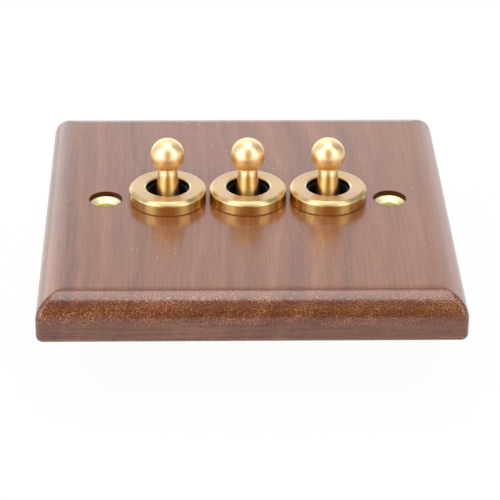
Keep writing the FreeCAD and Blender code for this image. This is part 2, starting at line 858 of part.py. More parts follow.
def make_end_terminal(doc, s, z, label, step, half_turn):
    """A bent end terminal: a sloped contact under the rocker's arm, a leg through the floor and a wire foot."""
    body = new_body(doc, label)
    lift = s.rocker_lift - s.contact_gap
    slope = sine(s.rocker_swing) / cosine(s.rocker_swing)
    start_y = s.contact_start * cosine(s.rocker_swing) + lift * sine(s.rocker_swing)
    start_z = z.rocker_pivot - s.contact_start * sine(s.rocker_swing) + lift * cosine(s.rocker_swing)
    depth = s.terminal_thickness / cosine(s.rocker_swing)
    sketch = new_sketch(body, "YZ_Plane")
    add_loop(sketch, [
        (start_y, start_z),
        (start_y, start_z - depth),
        (z.leg_start, start_z - depth - (z.leg_start - start_y) * slope),
        (z.leg_start, z.floor_under),
        (z.foot_start, z.floor_under),
        (z.foot_start, z.head_top),
        (s.terminal_reach, z.head_top),
        (s.terminal_reach, start_z - (s.terminal_reach - start_y) * slope),
    ])
    add_pad(body, sketch, s.terminal_width, symmetric=True)
    sketch = new_sketch(body, "XY_Plane", z.head_top)
    add_circle(sketch, 0, z.end_screw, s.terminal_screw_diameter + s.slot_clearance * 2)
    add_pocket(body, sketch, s.terminal_thickness, upward=True)
    place(body, (z.pitch * step, 0, 0), (0, 0, 1), half_turn)
    return body


def make_terminal_screws(doc, s, z, side, step):
    """The three wire screws of a case."""
    body = new_body(doc, f"{side}_terminal_screws")
    places = [z.end_screw * end for end in (-1, 0, 1)]
    heads = new_sketch(body, "XY_Plane", z.head_top)
    for y in places:
        add_circle(heads, 0, y, s.terminal_screw_head)
    add_pad(body, heads, s.terminal_screw_head_height, downward=True)
    shanks = new_sketch(body, "XY_Plane", z.head_top)
    for y in places:
        add_circle(shanks, 0, y, s.terminal_screw_diameter)
    add_pad(body, shanks, s.terminal_screw_grip)
    under = z.head_top - s.terminal_screw_head_height
    cut_driver_slots(body, s, [(0, y) for y in places], s.terminal_screw_head, under)
    place(body, (z.pitch * step, 0, 0))
    return body


def make_switch(doc, s, z, side, step):
    """Every piece of one gang."""
    return [
        make_dress_ring(doc, s, z, side, step),
        make_dolly(doc, s, z, side, step),
        make_pivot_pin(doc, s, z, side, step),
        make_plunger(doc, s, z, side, step),
        make_plunger_spring(doc, s, z, side, step),
        make_switch_cover(doc, s, z, side, step),
        make_switch_base(doc, s, z, side, step),
        make_rocker_contact(doc, s, z, side, step),
        make_common_terminal(doc, s, z, side, step),
        make_end_terminal(doc, s, z, f"{side}_front_terminal", step, 180),
        make_end_terminal(doc, s, z, f"{side}_rear_terminal", step, 0),
        make_terminal_screws(doc, s, z, side, step),
    ]


def check(doc, pieces):
    """Stop before anything is written if a feature failed or a piece has no valid solid."""
    for item in doc.Objects:
        if "Invalid" in item.State or "Error" in item.State:
            raise RuntimeError(f"{item.Label} failed: {item.State}")
    for piece in pieces:
        if piece.Shape.isNull() or not piece.Shape.isValid() or not piece.Shape.Solids:
            raise RuntimeError(f"{piece.Label} has no valid solid")


def main():
    doc = FreeCAD.newDocument("dolly_switch")
    s = write_sheet(doc)
    z = levels(s)
    pieces = [
        make_walnut_plate(doc, s, z),
        make_screw_cup(doc, s, z, "left_screw_cup", -1),
        make_screw_cup(doc, s, z, "right_screw_cup", 1),
        make_back_plate(doc, s, z),
        make_plate_screws(doc, s, z),
        make_earth_terminal(doc, s, z),
        make_earth_screw(doc, s, z),
    ]
    for side, step in SIDES.items():
        pieces += make_switch(doc, s, z, side, step)
    doc.recompute()
    check(doc, pieces)
    os.makedirs("parts", exist_ok=True)
    for piece in pieces:
        piece.Shape.exportStep(f"parts/{piece.Label}.step")


main()
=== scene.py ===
import math

import bpy
from mathutils import Matrix, Vector


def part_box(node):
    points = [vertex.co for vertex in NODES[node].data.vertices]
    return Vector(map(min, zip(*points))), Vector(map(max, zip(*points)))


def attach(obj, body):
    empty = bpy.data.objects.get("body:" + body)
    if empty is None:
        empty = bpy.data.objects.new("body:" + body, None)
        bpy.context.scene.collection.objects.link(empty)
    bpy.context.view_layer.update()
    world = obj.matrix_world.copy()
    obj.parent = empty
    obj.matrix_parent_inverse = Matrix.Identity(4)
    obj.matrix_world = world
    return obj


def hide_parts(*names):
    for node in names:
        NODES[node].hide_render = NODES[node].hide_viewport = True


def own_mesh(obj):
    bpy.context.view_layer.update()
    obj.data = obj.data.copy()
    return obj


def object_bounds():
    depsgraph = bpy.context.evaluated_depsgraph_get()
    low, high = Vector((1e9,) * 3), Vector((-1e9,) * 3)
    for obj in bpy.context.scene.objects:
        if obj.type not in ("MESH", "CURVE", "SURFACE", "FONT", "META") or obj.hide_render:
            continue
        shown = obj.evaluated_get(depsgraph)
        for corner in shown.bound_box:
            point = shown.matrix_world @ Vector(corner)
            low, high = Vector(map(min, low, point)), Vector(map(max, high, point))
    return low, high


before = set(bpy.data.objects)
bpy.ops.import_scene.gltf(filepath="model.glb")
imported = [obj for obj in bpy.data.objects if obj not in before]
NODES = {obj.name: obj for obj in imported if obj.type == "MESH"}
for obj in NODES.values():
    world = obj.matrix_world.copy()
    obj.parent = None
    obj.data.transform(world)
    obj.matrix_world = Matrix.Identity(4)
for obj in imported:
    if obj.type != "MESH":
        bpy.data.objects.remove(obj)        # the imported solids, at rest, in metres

CAD_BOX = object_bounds()
SIDES = ("left", "centre", "right")
MM = 0.001
PER_MM = 1 / MM

# The lever's rest, which the turned marks on it and the springs in it follow
LEVER_TILT = math.radians(14.0)
LEVER_AXIS = Vector((0, math.sin(LEVER_TILT), math.cos(LEVER_TILT)))
LEVER_PIVOT_HEIGHT = 8.0 * MM

# The lever's finish by the distance from its pivot, in millimetres: painted paler from the top of the stem
# up, so that the ball's highlights come out whiter, and on the underside of the ball a painted warm
# reflection of the ring, under a rougher polish
PALE_BALL_FADE = (6.5, 8.0)
UNDERSIDE_START = (7.9, 8.3)
UNDERSIDE_FADE = (9.0, 11.0)
UNDERSIDE_ROUGHER = 0.25

# The coil spring in the lever's tail, in millimetres from the pivot down, and the steps of its mesh
SPRING_TOP = 1.7
SPRING_LENGTH = 4.2
SPRING_WIRE = 0.35
SPRING_RADIUS = 1.025
SPRING_ACTIVE_TURNS = 5
STEPS_PER_TURN = 40
STEPS_ROUND_WIRE = 10

# The dress rings, in millimetres, the steps round them, and how much duller the face is than the wall
RING_BORE = 5.55
RING_HOLE = 4.575
RING_LIP = 0.9
RING_CHAMFER = 0.7
RING_HOLE_CHAMFER = 0.3
RING_EASE = 0.22
RING_STEPS = 144
RING_FACE_ROUGHER = 0.1

# The rounds on a ring's corners: the steps in one, the most that it takes of a side, and where, in times its
# own reach, one more point holds the side flat
ROUND_STEPS = 4
ROUND_SHARE = 0.3
ROUND_HOLD = 1.15

# The width over which one tone of a ring or a screw hole gives way to the next, in millimetres
TONE_STEP = 0.1

# The wall-box screw holes, in millimetres
FIXING_SPACING = 60.3
COUNTERBORE = 3.6

# The plate's half width, the line along its front and back where the end grain starts, the distance in which
# the end grain deepens, and the height under which the edge is upright and sawn, in millimetres
PLATE_HALF = 43.0
END_GRAIN_START = 38.7
END_GRAIN_DEEPENS = 2.6
UPRIGHT_EDGE = 5.0
UPRIGHT_FADE = 1.5

# The tree's heart, which the growth rings run round, from the plate's middle, and its sway, in millimetres
HEART_RIGHT = 48.0
HEART_BELOW = 26.0
HEART_SWAY = 9.0

# The range that a noise mostly keeps to
NOISE_LOW = 0.3
NOISE_HIGH = 0.7

# Broken edges: their widths by piece, and the reach that joins facets, in millimetres
PLATE_EDGES = {
    "walnut_plate": 0.08,
    "left_screw_cup": 0.06,
    "right_screw_cup": 0.06,
    "back_plate": 0.1,
    "plate_screws": 0.12,
    "earth_terminal": 0.12,
    "earth_screw": 0.12,
}
GANG_EDGES = {
    "dolly": 0.06,
    "switch_cover": 0.12,
    "switch_base": 0.12,
    "rocker_contact": 0.06,
    "common_terminal": 0.08,
    "front_terminal": 0.08,
    "rear_terminal": 0.08,
    "terminal_screws": 0.12,
    "plunger": 0.05,
    "pivot_pin": 0.1,
}
EDGE_SEGMENTS = 3
EDGE_ANGLE = math.radians(25)
JOIN_REACH = 0.0005

# Camera, from fitting the plate's and rings' edges to the picture
FRAME_PIXELS = 500
SENSOR = 36.0
FOCAL_PIXELS = 2346.2
CAMERA_PLACE = Vector((-12.48, -442.34, 239.65)) * MM
CAMERA_PITCH = math.radians(28.681)
CAMERA_YAW = math.radians(1.6895)
CAMERA_ROLL = math.radians(0.5716)
CAMERA_NEAR = 0.01

# The table's half width in metres, and the share of plain white in how it looks
TABLE_HALF = 0.3
TABLE_WHITE = 0.96

# The soft boxes: place and size in metres, and power in watts
LAMPS = {
    "left_box": ((-0.40, -0.30, 0.36), (0.28, 0.66), 1.6),
    "right_box": ((0.38, -0.32, 0.36), (0.28, 0.66), 1.3),
    "top_box": ((0.0, 0.0, 0.62), (0.32, 0.49), 1.75),
}

# The studio's walls by direction. Heights run from 0 at the horizon to 1 overhead, and facings from -1
# straight ahead of the object to 1 behind it. The walls are higher behind, weaker beside and to the right
WALL_STRENGTH = 1.55
CEILING_STRENGTH = 0.4
WALL_TOP_HEIGHTS = (0.42, 0.62)
BACK_WALL_RISE = 0.4
BACK_WALL_FACINGS = (0.0, 0.5)
WALL_FALL = 0.72
WALL_FALL_HEIGHTS = (0.40, 0.56)
SIDE_SHARE = 0.4
SIDE_FRONT_FACINGS = (-0.05, 0.15)
SIDE_BACK_FACINGS = (0.65, 0.85)
SIDE_TOP_HEIGHTS = (0.5, 0.7)
WALL_SLANT = 0.3

# The dim, warm part of the studio straight ahead, which is wider and lighter higher up
DIM_WIDTH = 0.2
DIM_BLUR = 0.08
DIM_SPREAD = 0.6
DIM_SPREAD_TOP = 0.5
DIM_FACINGS = (-0.3, -0.1)
DIM_TOP_HEIGHTS = (0.55, 0.85)
DIM_LOW = 0.36
DIM_HIGH = 0.78
DIM_LEVEL_HEIGHTS = (0.0, 0.65)
DIM_COLOUR = (1.0, 0.68, 0.27, 1.0)

# The least level reach of a direction, so that it can be divided by straight overhead too
LEAST_REACH = 0.001


class Nodes:
    """A node tree being put together, with short calls for the nodes that it needs."""

    def __init__(self, tree):
        self.tree = tree

    def put(self, socket, value):
        """Give a socket a value or a link."""
        if isinstance(value, bpy.types.NodeSocket):
            self.tree.links.new(value, socket)
        else:
            socket.default_value = value

    def add(self, kind, inputs=None, **settings):
        node = self.tree.nodes.new(kind)
        for name, value in settings.items():
            setattr(node, name, value)
        for name, value in (inputs or {}).items():
            self.put(node.inputs[name], value)
        return node

    def math(self, operation, first, second=0.0):
        node = self.add("ShaderNodeMath", operation=operation)
        self.put(node.inputs[0], first)
        self.put(node.inputs[1], second)
        return node.outputs[0]

    def parts(self, vector):
        return self.add("ShaderNodeSeparateXYZ", {"Vector": vector}).outputs

    def span(self, value, low, high, to_low=0.0, to_high=1.0, smooth=False):
        """Carry a value from one range to another, held at the ends."""
        inputs = {"Value": value, "From Min": low, "From Max": high, "To Min": to_low, "To Max": to_high}
        kind = "SMOOTHSTEP" if smooth else "LINEAR"
        return self.add("ShaderNodeMapRange", inputs, interpolation_type=kind).outputs["Result"]

    def mix(self, share, first, second):
        """A colour between two colours."""
        node = self.add("ShaderNodeMix", data_type="RGBA")
        self.put(node.inputs["Factor"], share)
        self.put(node.inputs[6], first)
        self.put(node.inputs[7], second)
        return node.outputs[2]


class Recipe(Nodes):
    """A material being put together."""

    def __init__(self, name, **settings):
        self.material = bpy.data.materials.new(name)
        self.material.use_nodes = True
        super().__init__(self.material.node_tree)
        self.shader = self.tree.nodes["Principled BSDF"]
        for socket, value in settings.items():
            self.set(socket.replace("_", " ").title().replace("Ior", "IOR"), value)

    def set(self, socket, value):
        """Give a socket of the shader a value or a link."""
        self.put(self.shader.inputs[socket], value)

    def place(self, stretch=(1, 1, 1), source="Object"):
        """Coordinates on the piece, in millimetres when the source is Object, times a stretch."""
        unit = PER_MM if source == "Object" else 1
        coordinates = self.add("ShaderNodeTexCoord").outputs[source]
        return self.stretched(coordinates, [part * unit for part in stretch])

    def stretched(self, vector, stretch):
        return self.add("ShaderNodeMapping", {"Vector": vector, "Scale": stretch}).outputs[0]

    def noise(self, vector, scale=1.0, detail=2.0, roughness=0.5):
        inputs = {"Vector": vector, "Scale": scale, "Detail": detail, "Roughness": roughness}
        return self.add("ShaderNodeTexNoise", inputs).outputs["Fac"]

    def line_noise(self, value, scale=1.0, detail=2.0):
        """Noise along one measure only, such as a radius."""
        inputs = {"W": value, "Scale": scale, "Detail": detail}
        return self.add("ShaderNodeTexNoise", inputs, noise_dimensions="1D").outputs["Fac"]

    def cells(self, vector, scale=1.0, output="Distance"):
        return self.add("ShaderNodeTexVoronoi", {"Vector": vector, "Scale": scale}).outputs[output]

    def vector_math(self, operation, first, second=(0, 0, 0), output="Vector"):
        node = self.add("ShaderNodeVectorMath", operation=operation)
        self.put(node.inputs[0], first)
        self.put(node.inputs[1], second)
        return node.outputs[output]

    def length(self, vector):
        return self.vector_math("LENGTH", vector, output="Value")

    def weighed(self, *shares):
        """The sum of values, each times its share."""
        total = None
        for value, share in shares:
            part = self.math("MULTIPLY", value, share)
            total = part if total is None else self.math("ADD", total, part)
        return total

    def ramp(self, value, stops):
        """A colour ramp through (position, colour) stops."""
        node = self.add("ShaderNodeValToRGB", {"Fac": value})
        elements = node.color_ramp.elements
        while len(elements) < len(stops):
            elements.new(1.0)
        for element, (position, colour) in zip(elements, stops):
            element.position = position
            element.color = colour
        return node.outputs["Color"]

    def tint(self, noise, dark, pale):
        """A colour that follows a noise."""
        return self.ramp(noise, [(NOISE_LOW, dark), (NOISE_HIGH, pale)])

    def vary(self, noise, low, high):
        """A number that follows a noise."""
        return self.span(noise, NOISE_LOW, NOISE_HIGH, low, high)

    def lay(self, colour, mask, share, over):
        """A second colour over the first where a mask shows it, up to a share."""
        return self.mix(self.math("MULTIPLY", mask, share), colour, over)

    def bump(self, height, strength, depth_mm):
        inputs = {"Height": height, "Strength": strength, "Distance": depth_mm * MM}
        return self.add("ShaderNodeBump", inputs).outputs["Normal"]


def shade(red, green, blue):
    return (red, green, blue, 1.0)


def middle_of(node):
    """The middle of a solid's box."""
    low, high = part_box(node)
    return (low + high) / 2


def growth_rings(made, point):
    """Growth rings round the tree's heart, which sways along the grain."""
    x, _, z = made.parts(point)
    wander = made.noise(made.stretched(point, (0.03, 0.014, 0.03)), detail=3.0)
    sway = made.span(wander, 0.0, 1.0, -HEART_SWAY, HEART_SWAY)
    across = made.math("SUBTRACT", made.math("ADD", x, sway), HEART_RIGHT)
    heart = made.add("ShaderNodeCombineXYZ", {"X": across, "Z": made.math("ADD", z, HEART_BELOW)})
    return made.line_noise(made.length(heart.outputs[0]), scale=0.28, detail=4.0)


def long_grain(made, point, rings, streaks, fibres):
    """The colour along the grain, a little paler toward the plate's right."""
    tone = made.weighed((rings, 0.32), (streaks, 0.28), (fibres, 0.40))
    paler = made.span(made.parts(point)[0], -PLATE_HALF, PLATE_HALF, -0.03, 0.03)
    return made.ramp(made.math("ADD", tone, paler), [
        (0.32, shade(0.064, 0.018, 0.007)),
        (0.46, shade(0.155, 0.0475, 0.0175)),
        (0.54, shade(0.193, 0.062, 0.0235)),
        (0.68, shade(0.272, 0.104, 0.0425)),
    ])


def end_grain(made, point, rings, dots):
    """The colour across the grain: stippled on the edge's round, in sawn bands on the upright under it."""
    patches = made.vary(made.noise(made.stretched(point, (0.06, 0.1, 0.4)), detail=2.0), -0.045, 0.04)
    tone = made.math("ADD", made.weighed((dots, 0.92), (rings, 0.08)), patches)
    stippled = made.ramp(tone, [
        (0.36, shade(0.030, 0.007, 0.003)),
        (0.47, shade(0.086, 0.0155, 0.0045)),
        (0.56, shade(0.150, 0.034, 0.0105)),
        (0.66, shade(0.47, 0.25, 0.145)),
    ])
    bands = made.noise(made.stretched(point, (0.06, 0.3, 1.6)), detail=3.0, roughness=0.6)
    sawn = made.ramp(bands, [(0.35, shade(0.055, 0.021, 0.013)), (0.65, shade(0.165, 0.079, 0.052))])
    upright = made.span(made.parts(point)[2], UPRIGHT_EDGE - UPRIGHT_FADE, UPRIGHT_EDGE, 0.6, 0.0)
    return made.mix(upright, stippled, sawn)


def end_masks(made, point):
    """How far the end grain shows on the front and back edges, and the wobbly dark line where it starts,
    which is partly painted shade of a fine crease there.
    """
    out = made.math("ABSOLUTE", made.parts(point)[1])
    facing = made.parts(made.add("ShaderNodeNewGeometry").outputs["Normal"])[1]
    on_end = made.span(made.math("ABSOLUTE", facing), 0.1, 0.2)
    deeper = made.span(out, END_GRAIN_START, END_GRAIN_START + END_GRAIN_DEEPENS, 0.15, 1.0)
    started = made.span(out, END_GRAIN_START - 0.05, END_GRAIN_START + 0.05)
    shown = made.math("MULTIPLY", made.math("MULTIPLY", deeper, started), on_end)
    wobble = made.noise(made.stretched(point, (0.25, 0.0, 0.0)), detail=2.0)
    line_place = made.vary(wobble, END_GRAIN_START - 0.1, END_GRAIN_START + 0.1)
    off_line = made.math("ABSOLUTE", made.math("SUBTRACT", out, line_place))
    line = made.span(off_line, 0.08, 0.2, 0.75, 0.0)
    return shown, made.math("MULTIPLY", line, on_end)


def painted_pore_glints(made, point):
    """Painted glints: scattered pale flecks in the pores, in patches, where pores catch the light."""
    flecks = made.span(made.cells(made.stretched(point, (1.3, 0.2, 1.3))), 0.08, 0.15, 1.0, 0.0)
    patches = made.span(made.noise(point, scale=0.07, detail=2.0), 0.5, 0.68)
    return made.math("MULTIPLY", flecks, patches)


def reach_from_screws(made, point):
    """The distance from the axis of the nearer wall-box screw hole."""
    x, y, _ = made.parts(point)
    aside = made.math("SUBTRACT", made.math("ABSOLUTE", x), FIXING_SPACING / 2)
    from_hole = made.add("ShaderNodeCombineXYZ", {"X": aside, "Y": y})
    return made.length(from_hole.outputs[0])


def walnut():
    """Oiled walnut with its grain along Y: growth rings, fibre streaks, pores and stippled end grain."""
    made = Recipe("walnut", coat_weight=1.0, coat_roughness=0.2, coat_ior=1.6, specular_ior_level=0.05)
    point = made.place()
    rings = growth_rings(made, point)
    streaks = made.noise(made.stretched(point, (1.6, 0.035, 1.6)), detail=4.0, roughness=0.6)
    fibres = made.noise(made.stretched(point, (5.0, 0.13, 5.0)), detail=3.0, roughness=0.7)
    dots = made.noise(made.stretched(point, (5.5, 0.6, 5.5)), detail=2.0, roughness=0.7)
    pores = made.span(made.cells(made.stretched(point, (1.9, 0.22, 1.9))), 0.05, 0.16, 1.0, 0.0)
    ends, line = end_masks(made, point)
    colour = long_grain(made, point, rings, streaks, fibres)
    colour = made.lay(colour, ends, 0.85, end_grain(made, point, rings, dots))
    colour = made.lay(colour, pores, 0.5, shade(0.045, 0.02, 0.012))
    # The dark line where the end grain starts, partly painted shade of a fine crease
    colour = made.mix(line, colour, shade(0.05, 0.016, 0.008))
    # Painted glints of pores catching the light, laid over the wood
    colour = made.lay(colour, painted_pore_glints(made, point), 0.35, shade(0.60, 0.48, 0.40))
    reach = reach_from_screws(made, point)
    # Painted shade: the wood inside the screw counterbores is darkened and has no coat
    painted_bore_shade = made.span(reach, COUNTERBORE - TONE_STEP, COUNTERBORE, 0.75, 0.0)
    made.set("Base Color", made.mix(painted_bore_shade, colour, shade(0.030, 0.008, 0.004)))
    made.set("Coat Weight", made.span(reach, COUNTERBORE - TONE_STEP, COUNTERBORE))
    made.set("Roughness", made.vary(fibres, 0.30, 0.45))
    grain = made.math("SUBTRACT", fibres, pores)
    made.set("Normal", made.bump(grain, 0.3, 0.06))
    stipple = made.math("MULTIPLY", made.math("MULTIPLY", dots, ends), 1.2)
    relief = made.math("ADD", made.math("ADD", grain, streaks), stipple)
    made.set("Coat Normal", made.bump(relief, 0.12, 0.05))
    return made.material


def brushed(made, along, cycles, strength, depth_mm, roughness):
    """Turned marks: fine lines that follow one measure, with broad smudges in the polish."""
    fine = made.line_noise(along, scale=cycles, detail=4.0)
    smudge = made.noise(made.place(), scale=0.35, detail=3.0)
    made.set("Normal", made.bump(fine, strength, depth_mm))
    return smudge, made.vary(smudge, *roughness)


def turned_about(made, axis, centre):
    """Lay the polish marks round an axis, as on a lathe-turned piece, and give the height along it."""
    arm = made.vector_math("SUBTRACT", made.place(), tuple(centre))
    around = made.vector_math("CROSS_PRODUCT", tuple(axis), arm)
    turn = made.add("ShaderNodeVectorTransform", {"Vector": around}, vector_type="VECTOR",
                    convert_from="OBJECT", convert_to="WORLD")
    made.set("Tangent", made.vector_math("NORMALIZE", turn.outputs[0]))
    made.set("Anisotropic Rotation", 0.25)
    return made.vector_math("DOT_PRODUCT", arm, tuple(axis), output="Value")


def ring_brass(side):
    """Satin brass turned about one ring's upright axis: sanded face, chamfer, yellow wall, a painted
    highlight on the hole's rim and painted shade in the hole.
    """
    made = Recipe(f"{side}_ring_brass", metallic=1.0, anisotropic=0.7)
    low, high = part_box(f"{side}_dress_ring")
    face_edge = (high.x - low.x) / 2 * PER_MM - RING_CHAMFER
    wall_top = (high.z - low.z) / 2 * PER_MM - RING_CHAMFER
    rim_edge = RING_HOLE + RING_HOLE_CHAMFER
    centre = middle_of(f"{side}_dress_ring") * PER_MM
    height = turned_about(made, (0, 0, 1), centre)
    arm = made.vector_math("SUBTRACT", made.place(), tuple(centre))
    radius = made.length(made.vector_math("MULTIPLY", arm, (1, 1, 0)))
    along = made.math("ADD", radius, made.math("MULTIPLY", height, 1.3))
    smudge, rough = brushed(made, along, cycles=7.0, strength=0.2, depth_mm=0.02, roughness=(0.18, 0.25))
    sanded = made.noise(made.place(), scale=3.5, detail=3.0, roughness=0.7)
    face = made.tint(sanded, shade(0.48, 0.34, 0.185), shade(0.66, 0.49, 0.295))
    wall = made.tint(smudge, shade(0.70, 0.46, 0.15), shade(0.76, 0.52, 0.20))
    chamfered = made.span(radius, face_edge, face_edge + TONE_STEP)
    above_wall = made.span(height, wall_top - TONE_STEP, wall_top)
    # Painted highlight: a pale band on the hole's chamfered rim
    painted_rim_highlight = made.span(radius, rim_edge, rim_edge + TONE_STEP, 1.0, 0.0)
    # Painted shade: the hole's inner wall is darkened
    painted_hole_shade = made.span(radius, RING_HOLE, RING_HOLE + TONE_STEP, 1.0, 0.0)
    colour = made.mix(chamfered, face, shade(0.62, 0.47, 0.24))
    colour = made.mix(above_wall, wall, colour)
    colour = made.mix(painted_rim_highlight, colour, shade(0.90, 0.74, 0.48))
    made.set("Base Color", made.mix(painted_hole_shade, colour, shade(0.16, 0.09, 0.03)))
    made.set("Roughness", made.math("ADD", rough, made.math("MULTIPLY", above_wall, RING_FACE_ROUGHER)))
    return made.material


def dolly_brass(side):
    """Satin brass turned about one lever's tipped axis, painted paler on the ball to whiten its highlights,
    with a painted warm reflection under it.
    """
    made = Recipe(f"{side}_dolly_brass", metallic=1.0, anisotropic=0.4)
    centre = Vector((middle_of(f"{side}_dress_ring").x, 0, LEVER_PIVOT_HEIGHT)) * PER_MM
    along = turned_about(made, LEVER_AXIS, centre)
    smudge, rough = brushed(made, along, cycles=6.0, strength=0.12, depth_mm=0.015, roughness=(0.31, 0.37))
    plain = made.tint(smudge, shade(0.53, 0.305, 0.10), shade(0.59, 0.355, 0.13))
    # Painted paler brass on the ball, so that its highlights come out whiter than the stem's
    painted_pale_ball = made.tint(smudge, shade(0.95, 0.67, 0.34), shade(0.98, 0.73, 0.42))
    colour = made.mix(made.span(along, *PALE_BALL_FADE, smooth=True), plain, painted_pale_ball)
    # Painted warm reflection of the ring under the ball, where the polish is also rougher
    past_stem = made.span(along, *UNDERSIDE_START)
    below_middle = made.span(along, *UNDERSIDE_FADE, 1.0, 0.0, smooth=True)
    painted_reflection_and_rougher = made.math("MULTIPLY", past_stem, below_middle)
    made.set("Base Color", made.mix(painted_reflection_and_rougher, colour, shade(1.0, 0.60, 0.22)))
    made.set("Roughness", made.math("ADD", rough, made.math("MULTIPLY", painted_reflection_and_rougher, UNDERSIDE_ROUGHER)))
    return made.material


def cup_brass():
    """Bright lemon brass of the screw cups."""
    made = Recipe("cup_brass", metallic=1.0)
    radius = made.length(made.vector_math("SUBTRACT", made.place(source="Generated"), (0.5, 0.5, 0.0)))
    smudge, rough = brushed(made, radius, cycles=40.0, strength=0.1, depth_mm=0.01, roughness=(0.45, 0.55))
    made.set("Base Color", made.tint(smudge, shade(1.0, 0.93, 0.52), shade(1.0, 0.97, 0.66)))
    made.set("Roughness", rough)
    return made.material


def stamped_metal(name, dark, pale, roughness):
    """Sheet metal as it comes from the press: drawn lines along Y and a cloudy tone."""
    made = Recipe(name, metallic=1.0)
    lines = made.noise(made.place((9.0, 0.4, 9.0)), detail=3.0)
    clouds = made.noise(made.place(), scale=0.5, detail=3.0)
    made.set("Base Color", made.tint(clouds, dark, pale))
    made.set("Roughness", made.vary(clouds, *roughness))
    made.set("Normal", made.bump(lines, 0.15, 0.02))
    return made.material


def zinc_steel():
    """Zinc-plated sheet, with the faint crystals of the plating."""
    made = Recipe("zinc_steel", metallic=1.0)
    crystals = made.cells(made.place(), scale=0.9, output="Color")
    tone = made.parts(crystals)[0]
    made.set("Base Color", made.ramp(tone, [(0.0, shade(0.46, 0.48, 0.50)), (1.0, shade(0.60, 0.62, 0.64))]))
    made.set("Roughness", made.span(tone, 0.0, 1.0, 0.3, 0.42))
    made.set("Normal", made.bump(made.noise(made.place(), scale=5.0), 0.1, 0.02))
    return made.material


def black_moulding():
    """Black thermoset with a finely sparked skin."""
    made = Recipe("black_moulding", specular_ior_level=0.45)
    skin = made.noise(made.place(), scale=9.0, detail=3.0)
    clouds = made.noise(made.place(), scale=0.4, detail=3.0)
    made.set("Base Color", made.tint(clouds, shade(0.011, 0.011, 0.012), shade(0.020, 0.019, 0.019)))
    made.set("Roughness", made.vary(skin, 0.38, 0.55))
    made.set("Normal", made.bump(skin, 0.18, 0.03))
    return made.material


def nylon():
    """Milky nylon of the plungers."""
    made = Recipe("nylon", subsurface_weight=0.25, subsurface_scale=0.001)
    clouds = made.noise(made.place(), scale=0.8, detail=2.0)
    made.set("Base Color", made.tint(clouds, shade(0.70, 0.67, 0.60), shade(0.80, 0.78, 0.72)))
    made.set("Roughness", made.vary(clouds, 0.32, 0.45))
    return made.material


def dress(node, material):
    """Give a solid of the frame its material."""
    slots = NODES[node].data.materials
    slots.clear()
    slots.append(material)


def ease_edges(node, width_mm):
    """Join the solid's facets and break its sharp edges by a hair."""
    piece = NODES[node]
    weld = piece.modifiers.new("weld", "WELD")
    weld.merge_threshold = JOIN_REACH * MM
    bevel = piece.modifiers.new("edges", "BEVEL")
    bevel.width = width_mm * MM
    bevel.segments = EDGE_SEGMENTS
    bevel.limit_method = "ANGLE"
    bevel.angle_limit = EDGE_ANGLE
    flats = piece.modifiers.new("flats", "WEIGHTED_NORMAL")
    flats.keep_sharp = True


def add_piece(name, points, faces, material, body):
    """A smooth mesh that moves with a body and takes the given material."""
    mesh = bpy.data.meshes.new(name)
    mesh.from_pydata(points, [], faces)
    mesh.materials.append(material)
    mesh.shade_smooth()
    piece = bpy.data.objects.new(name, mesh)
    bpy.context.scene.collection.objects.link(piece)
    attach(piece, body)
    return piece


def eased(corners, ease):
    """A closed outline with every corner turned by a small round, held flat beside it."""
    points = []
    for index, corner in enumerate(corners):
        corner = Vector(corner)
        before = Vector(corners[index - 1]) - corner
        after = Vector(corners[(index + 1) % len(corners)]) - corner
        reach = min(ease, ROUND_SHARE * before.length, ROUND_SHARE * after.length)
        before.normalize()
        after.normalize()
        points.append(corner + before * reach * ROUND_HOLD)
        for step in range(ROUND_STEPS + 1):
            share = step / ROUND_STEPS
            coming = (corner + before * reach).lerp(corner, share)
            going = corner.lerp(corner + after * reach, share)
            points.append(coming.lerp(going, share))
        points.append(corner + after * reach * ROUND_HOLD)
    return points


def make_ring(side, material):
    """One turned dress ring, its outline carried round the upright axis."""
    low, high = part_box(f"{side}_dress_ring")
    centre = (low + high) / 2
    outer = (high.x - low.x) / 2 * PER_MM
    bottom = low.z * PER_MM
    top = high.z * PER_MM
    outline = eased([
        (RING_BORE, bottom),
        (outer, bottom),
        (outer, top - RING_CHAMFER),
        (outer - RING_CHAMFER, top),
        (RING_HOLE + RING_HOLE_CHAMFER, top),
        (RING_HOLE, top - RING_HOLE_CHAMFER),
        (RING_HOLE, top - RING_LIP),
        (RING_BORE, top - RING_LIP),
    ], RING_EASE)
    points = []
    for step in range(RING_STEPS):
        angle = math.tau * step / RING_STEPS
        for radius, height in outline:
            points.append((centre.x + radius * math.cos(angle) * MM, centre.y + radius * math.sin(angle) * MM,
                           height * MM))
    faces = []
    size = len(outline)
    for step in range(RING_STEPS):
        here = step * size
        there = (step + 1) % RING_STEPS * size
        for index in range(size):
            following = (index + 1) % size
            faces.append((here + index, there + index, there + following, here + following))
    ring = add_piece(f"{side}_turned_ring", points, faces, material, "switch")
    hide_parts(f"{side}_dress_ring")


def coil_height(turns):
    """Height of the coil's centre line after this many turns: a dead turn at each end, open ones between."""
    open_length = SPRING_LENGTH - 3 * SPRING_WIRE
    open_share = min(max(turns - 1, 0) / SPRING_ACTIVE_TURNS, 1)
    dead = min(turns, 1) + max(turns - 1 - SPRING_ACTIVE_TURNS, 0)
    return SPRING_WIRE / 2 + dead * SPRING_WIRE + open_share * open_length


